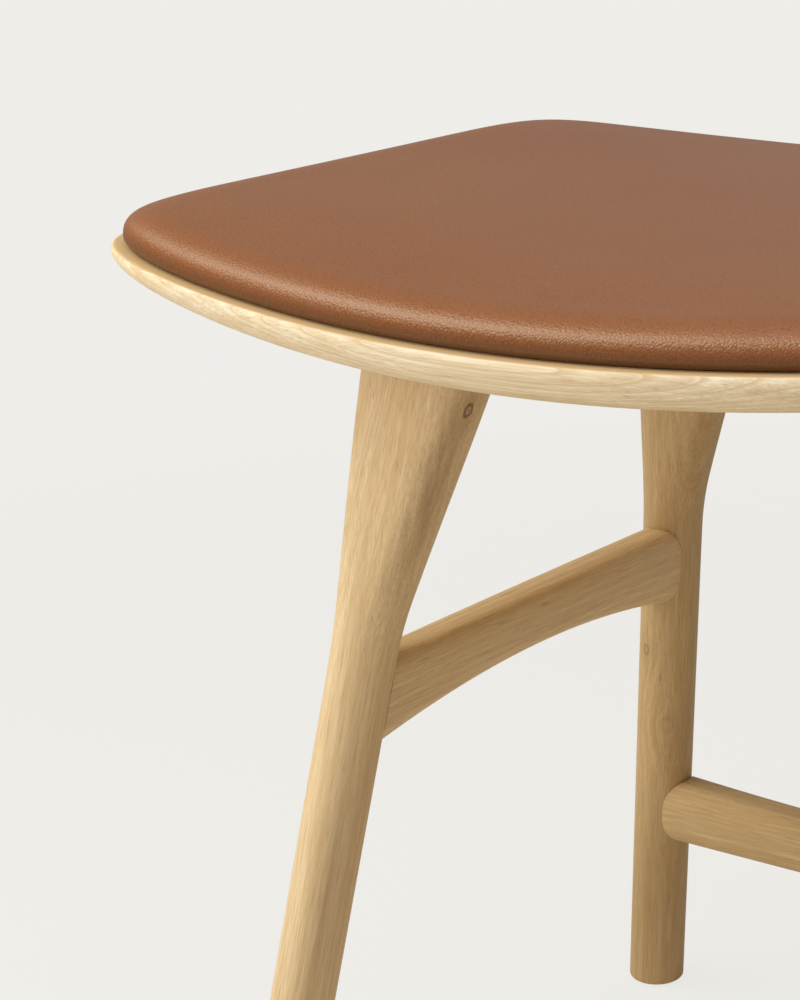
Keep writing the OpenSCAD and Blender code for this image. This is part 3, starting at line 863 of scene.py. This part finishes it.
# Painted light and shade: the left side rail is toned lighter than the plain oak, the back rail
# darker
railLooks = {
    "leftSideRail": {
        "node": "left_side_stretcher", "side": -1, "pith": (0.03, 0.046), "seed": 6.2,
        "looks": {"light": "#F2D9B0", "middle": "#E9CB9C", "late": "#CBA471"}},
    "rightSideRail": {
        "node": "right_side_stretcher", "side": 1, "pith": (-0.04, 0.035), "seed": 7.9},
    "backRail": {
        "node": "back_stretcher", "side": 0, "pith": (0.043, 0.03), "seed": 9.4,
        "looks": {"light": "#D6BA8E", "middle": "#CCAA7A", "late": "#B18C5A"}},
}

for name, look in railLooks.items():
    side = look["side"]
    if side:
        piece = mirrored(makeRail(name, sidePoint, 1), side, 1)
        drill(piece, atCorner(sideBores(), side, 1) + atCorner(sideBores(), side, -1))
        giveGrain(piece, lambda x, y, z: (x - side * legX(z), z - sideRail["top"], y))
    else:
        piece = makeRail(name, backPoint, -1)
        drill(piece, atCorner(backBores(), -1, 1) + atCorner(backBores(), 1, 1))
        giveGrain(piece, lambda x, y, z: (y - legY(z), z - backRail["base"], x))
    material = oakMaterial("oiledOak" + name[0].upper() + name[1:], look["pith"], look["seed"],
                           looks=look.get("looks"))
    dress(piece, material, 35)
    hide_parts(look["node"])
print("rails made")


# Cushion: leather over foam on a plywood board, following the seat's dish

cushion = {
    "margin": 4.7, "edge": 16, "crown": 4.5, "roll": 26, "tuck": 2,
    "leather": 1.2, "fold": 26, "board": 4, "gap": 0.3,
    "lean": 1.6,      # the side draws in this much more at its foot than in the bare solid
    "waist": 4,       # mm above the seat at which the side is widest
    "fullness": 2.6,  # 2 for an elliptic roll, more for a fuller one
    "footShadeHeight": 7,        # mm above the seat to which the painted shade of the side's foot runs up
    "footShadeMark": 0.75, "footShadeFull": 0.35,  # its share, and the part of its height at that share
    "points": 240, "crownRings": 22, "foldRings": 5,
    "sideStep": 6,    # degrees from one ring of the rolled side to the next
    "foamPoints": 120, "foamRings": 10, "foamStep": 9,
    "foamLead": 0.3,  # mm that the foam's lower edge stands in from the side above it
}
boardLift = 2 * cushion["gap"] + cushion["leather"]
foamLift = boardLift + cushion["board"] + cushion["gap"]


def sideRings(angles, skin):
    c = cushion
    rings = []
    for angle in angles:
        a = radians(angle)
        across = c["tuck"] + c["lean"] if angle < 0 else c["roll"]
        up = c["waist"] - c["gap"] if angle < 0 else c["edge"] - c["waist"]
        power = 1 if angle < 0 else 2 / c["fullness"]
        out, rise = abs(cos(a)) ** power, abs(sin(a)) ** power * (-1 if angle < 0 else 1)
        rings.append((c["margin"] + across - (across - skin) * out, 1,
                      c["waist"] + (up - skin) * rise, 1))
    return rings


def crownRings(sizes, skin):
    c = cushion
    return [(c["margin"] + c["roll"], 1, c["edge"] - skin + c["crown"] * (1 - s * s), s)
            for s in sizes]


# The foam's push on the leather: a closed copy of the cushion is meshed evenly and blown up a
# little as cloth, held at its foot. The skin then follows the way its points went.
stuffing = {
    "voxel": 6,          # mm
    "points": 96, "rings": 12, "pressure": 4.0, "quality": 6, "frames": 20,
    "cap": 1.6,          # mm that a point may move at most
    "held": (3.0, 9.0),  # mm above the seat: held below the first, free above the second
    "reach": 40,         # mm over which the skin averages the points round it
    "ease": 6,           # mm of height over which the skin comes free
    "underRings": 8,     # rings of the closed underside
    "sideStep": 15,      # degrees
}


def stuffingPush(material):
    c, s = cushion, stuffing
    count, under = s["rings"], s["underRings"]
    rings = ([(c["margin"] + c["tuck"], 1, c["gap"], k / under) for k in range(1, under)]
             + sideRings(range(-90, 91, s["sideStep"]), 0)
             + crownRings([1 - k / count for k in range(1, count)], 0))
    pad = panelPiece("stuffing", rings, s["points"], material)
    even = pad.modifiers.new("even", "REMESH")
    even.mode, even.voxel_size = "VOXEL", s["voxel"] * mm
    applied(pad)
    rest = [v.co.copy() for v in pad.data.vertices]
    low, high = s["held"]
    held = pad.vertex_groups.new(name="held")
    for i, place in enumerate(rest):
        free = (place.z / mm - seatTop(place.x / mm) - low) / (high - low)
        held.add([i], 1 - min(1, max(0, free)), "REPLACE")
    cloth = pad.modifiers.new("blown", "CLOTH")
    cloth.settings.quality = s["quality"]
    cloth.settings.use_pressure = True
    cloth.settings.uniform_pressure_force = s["pressure"]
    cloth.settings.effector_weights.gravity = 0
    cloth.settings.vertex_group_mass = "held"
    cloth.point_cache.frame_start, cloth.point_cache.frame_end = 1, s["frames"]
    for step in range(1, s["frames"] + 1):
        bpy.context.scene.frame_set(step)
    applied(pad)
    bpy.context.scene.frame_set(1)
    cap, reach = s["cap"] * mm, s["reach"] * mm
    moves = [v.co - place for v, place in zip(pad.data.vertices, rest)]
    moves = [m * min(1, cap / max(m.length, 1e-9)) for m in moves]
    furthest = max(m.length for m in moves) / mm
    print("cushion blown up: points", len(rest), "furthest", round(furthest, 2), "mm")
    tree = KDTree(len(rest))
    for i, place in enumerate(rest):
        tree.insert(place, i)
    tree.balance()
    bpy.data.objects.remove(pad)

    def push(place):
        total, weights = Vector(), 1e-9
        for spot, i, gap in tree.find_range(place, reach):
            weight = (1 - gap / reach) ** 2
            total += weight * moves[i]
            weights += weight
        return total / weights

    return push


def pushed(piece, push, keep):  # keep: mm above the seat below which nothing moves
    for v in piece.data.vertices:
        free = (v.co.z / mm - seatTop(v.co.x / mm) - keep) / stuffing["ease"]
        if free > 0:
            v.co += min(1, free) * push(v.co)
    piece.data.update()


def makeLeather(push, material):
    c = cushion
    foldIn = c["margin"] + c["tuck"] + c["fold"]
    sizes = [1 - k / c["crownRings"] for k in range(1, c["crownRings"])]
    count = c["foldRings"]
    rings = ([(foldIn - c["fold"] * k / count, 1, c["gap"], 1) for k in range(count)]
             + sideRings(range(-90, 91, c["sideStep"]), 0) + crownRings(sizes, 0))
    piece = panelPiece("leatherCover", rings, c["points"], material, closed=False)
    pushed(piece, push, stuffing["held"][0])
    wall = piece.modifiers.new("wall", "SOLIDIFY")
    wall.thickness, wall.offset, wall.use_even_offset = c["leather"] * mm, -1, True
    applied(piece)
    # Painted shade: the lower a point lies on the side, the darker it is painted
    layer = piece.data.attributes.new("foot", "FLOAT", "POINT")
    for v in piece.data.vertices:
        rise = (v.co.z / mm - seatTop(v.co.x / mm)) / c["footShadeHeight"]
        layer.data[v.index].value = c["footShadeMark"] * min(1, max(0, 1 + c["footShadeFull"] - rise))
    dress(piece, material, 60)
    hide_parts("leather_cover")


def makeFoam(push):
    c, count = cushion, cushion["foamRings"]
    material = plainMaterial("polyurethaneFoam")
    skin = c["leather"] + c["gap"]
    sizes = [k / count for k in range(1, count + 1)]
    side = [ring for ring in sideRings(range(0, 91, c["foamStep"]), skin)
            if ring[2] > foamLift + c["foamLead"]]
    rings = ([(c["margin"] + skin + c["foamLead"], 1, foamLift, s) for s in sizes]
             + side + crownRings(sizes[-2::-1], skin))
    piece = panelPiece("foamPad", rings, c["foamPoints"], material)
    pushed(piece, push, foamLift)
    dress(piece, material, 50)
    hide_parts("cushion_foam")


leather = leatherMaterial()
push = stuffingPush(leather)
makeLeather(push, leather)
makeFoam(push)
print("cushion made")


# The nodes that stay as the model has them

nodeFinishes = {
    "cushion_board": "birchPlywood",
    "cushion_screws": "zincPlatedSteel",
    "cushion_inserts": "brassInsert",
    "foot_glides": "mouldedPolyethylene",
    "seat_dowels": "beechDowel",
    "side_dowels": "beechDowel",
    "back_dowels": "beechDowel",
}
plainMaterials = {name: plainMaterial(name) for name in sorted(set(nodeFinishes.values()))}
for node, name in nodeFinishes.items():
    piece = bpy.data.objects[node]
    piece.data.materials.clear()
    piece.data.materials.append(plainMaterials[name])
print("model nodes dressed")


# Floor and light: a soft white studio, brightest from the front left

studio = {
    "floorTone": "#EFEDE9", "bounceTone": "#EFE7D8", "floorHalf": 60,
    "shadowShare": 0.1, "shadowReach": (0.6, 1.8),  # metres over which the shadow fades out
    "worldLevel": 0.22,
    "glossShare": 0.25,  # how much of the pale backdrop a reflection shows
    "aim": (0, 0, 0.38),
    "lamps": {  # spot, width in metres, watts, tone, and whether it shows in reflections
        "overhead": ((0, 0, 1.9), 1.4, 8.4, "#FFFFFF", True),
        "left": ((-1.35, -0.3, 1.6), 0.9, 6.6, "#FAFCE6", True),
        "highLeft": ((-1.0, -0.8, 1.85), 0.9, 11.4, "#FAFCE6", True),
        "frontLeft": ((-0.9, -0.95, 0.75), 0.6, 5.3, "#F6FAFF", False),
        "front": ((-0.1, -1.45, 1.2), 0.9, 7.5, "#F6FAFF", False),
    },
}


# 1 for the rays that see the pale tone itself, whether direct or through glass, and a
# smaller share for those that see it reflected
def seenShare(tree):
    path = addNode(tree, "ShaderNodeLightPath").outputs
    gloss = addNode(tree, "ShaderNodeMath", {
        0: path["Is Glossy Ray"], 1: studio["glossShare"]}, operation="MULTIPLY").outputs[0]
    seen = addNode(tree, "ShaderNodeMath", {
        0: path["Is Camera Ray"], 1: path["Is Transmission Ray"]}, operation="MAXIMUM").outputs[0]
    return addNode(tree, "ShaderNodeMath", {0: seen, 1: gloss}, operation="MAXIMUM").outputs[0]


# Matt seamless paper: a pale warm grey that keeps a faint shadow near the feet
def makeFloor():
    h = studio["floorHalf"] / mm
    plane = addPiece("floor", [(-h, -h, 0), (h, -h, 0), (h, h, 0), (-h, h, 0)], [(0, 1, 2, 3)])
    material = bpy.data.materials.new("paperFloor")
    material.use_nodes = True
    tree = material.node_tree
    tree.nodes.clear()
    pale = tone(studio["floorTone"])
    matt = addNode(tree, "ShaderNodeBsdfDiffuse", {"Color": pale}).outputs[0]
    bounce = addNode(tree, "ShaderNodeBsdfDiffuse", {
        "Color": tone(studio["bounceTone"])}).outputs[0]
    glow = addNode(tree, "ShaderNodeEmission", {"Color": pale, "Strength": 1.0}).outputs[0]
    place = addNode(tree, "ShaderNodeTexCoord").outputs["Object"]
    away = addNode(tree, "ShaderNodeVectorMath", {0: place}, operation="LENGTH").outputs["Value"]
    near, far = studio["shadowReach"]
    share = addNode(tree, "ShaderNodeMapRange", {
        "Value": away, "From Min": near, "From Max": far,
        "To Min": studio["shadowShare"], "To Max": 0.0},
        interpolation_type="SMOOTHSTEP").outputs[0]
    shaded = addNode(tree, "ShaderNodeMixShader", {0: share, 1: glow, 2: matt}).outputs[0]
    look = addNode(tree, "ShaderNodeMixShader", {
        0: seenShare(tree), 1: bounce, 2: shaded}).outputs[0]
    addNode(tree, "ShaderNodeOutputMaterial", {"Surface": look})
    plane.data.materials.append(material)


def makeLight():
    world = bpy.data.worlds.new("studio")
    world.use_nodes = True
    tree = world.node_tree
    tree.nodes.clear()
    soft = addNode(tree, "ShaderNodeBackground", {
        "Color": (1, 1, 1, 1), "Strength": studio["worldLevel"]}).outputs[0]
    pale = addNode(tree, "ShaderNodeBackground", {
        "Color": tone(studio["floorTone"]), "Strength": 1.0}).outputs[0]
    look = addNode(tree, "ShaderNodeMixShader", {
        0: seenShare(tree), 1: soft, 2: pale}).outputs[0]
    addNode(tree, "ShaderNodeOutputWorld", {"Surface": look})
    bpy.context.scene.world = world
    for name, (spot, width, power, colour, mirrors) in studio["lamps"].items():
        data = bpy.data.lights.new(name, "AREA")
        data.energy, data.size = power, width
        data.color = tone(colour)[:3]
        lamp = bpy.data.objects.new(name, data)
        lamp.location = spot
        aim = Vector(studio["aim"]) - lamp.location
        lamp.rotation_mode = "QUATERNION"
        lamp.rotation_quaternion = aim.to_track_quat("-Z", "Y")
        lamp.visible_camera = False
        lamp.visible_glossy = mirrors
        bpy.context.collection.objects.link(lamp)


makeFloor()
makeLight()
bpy.context.scene.view_settings.view_transform = "Standard"
print("floor and light set")
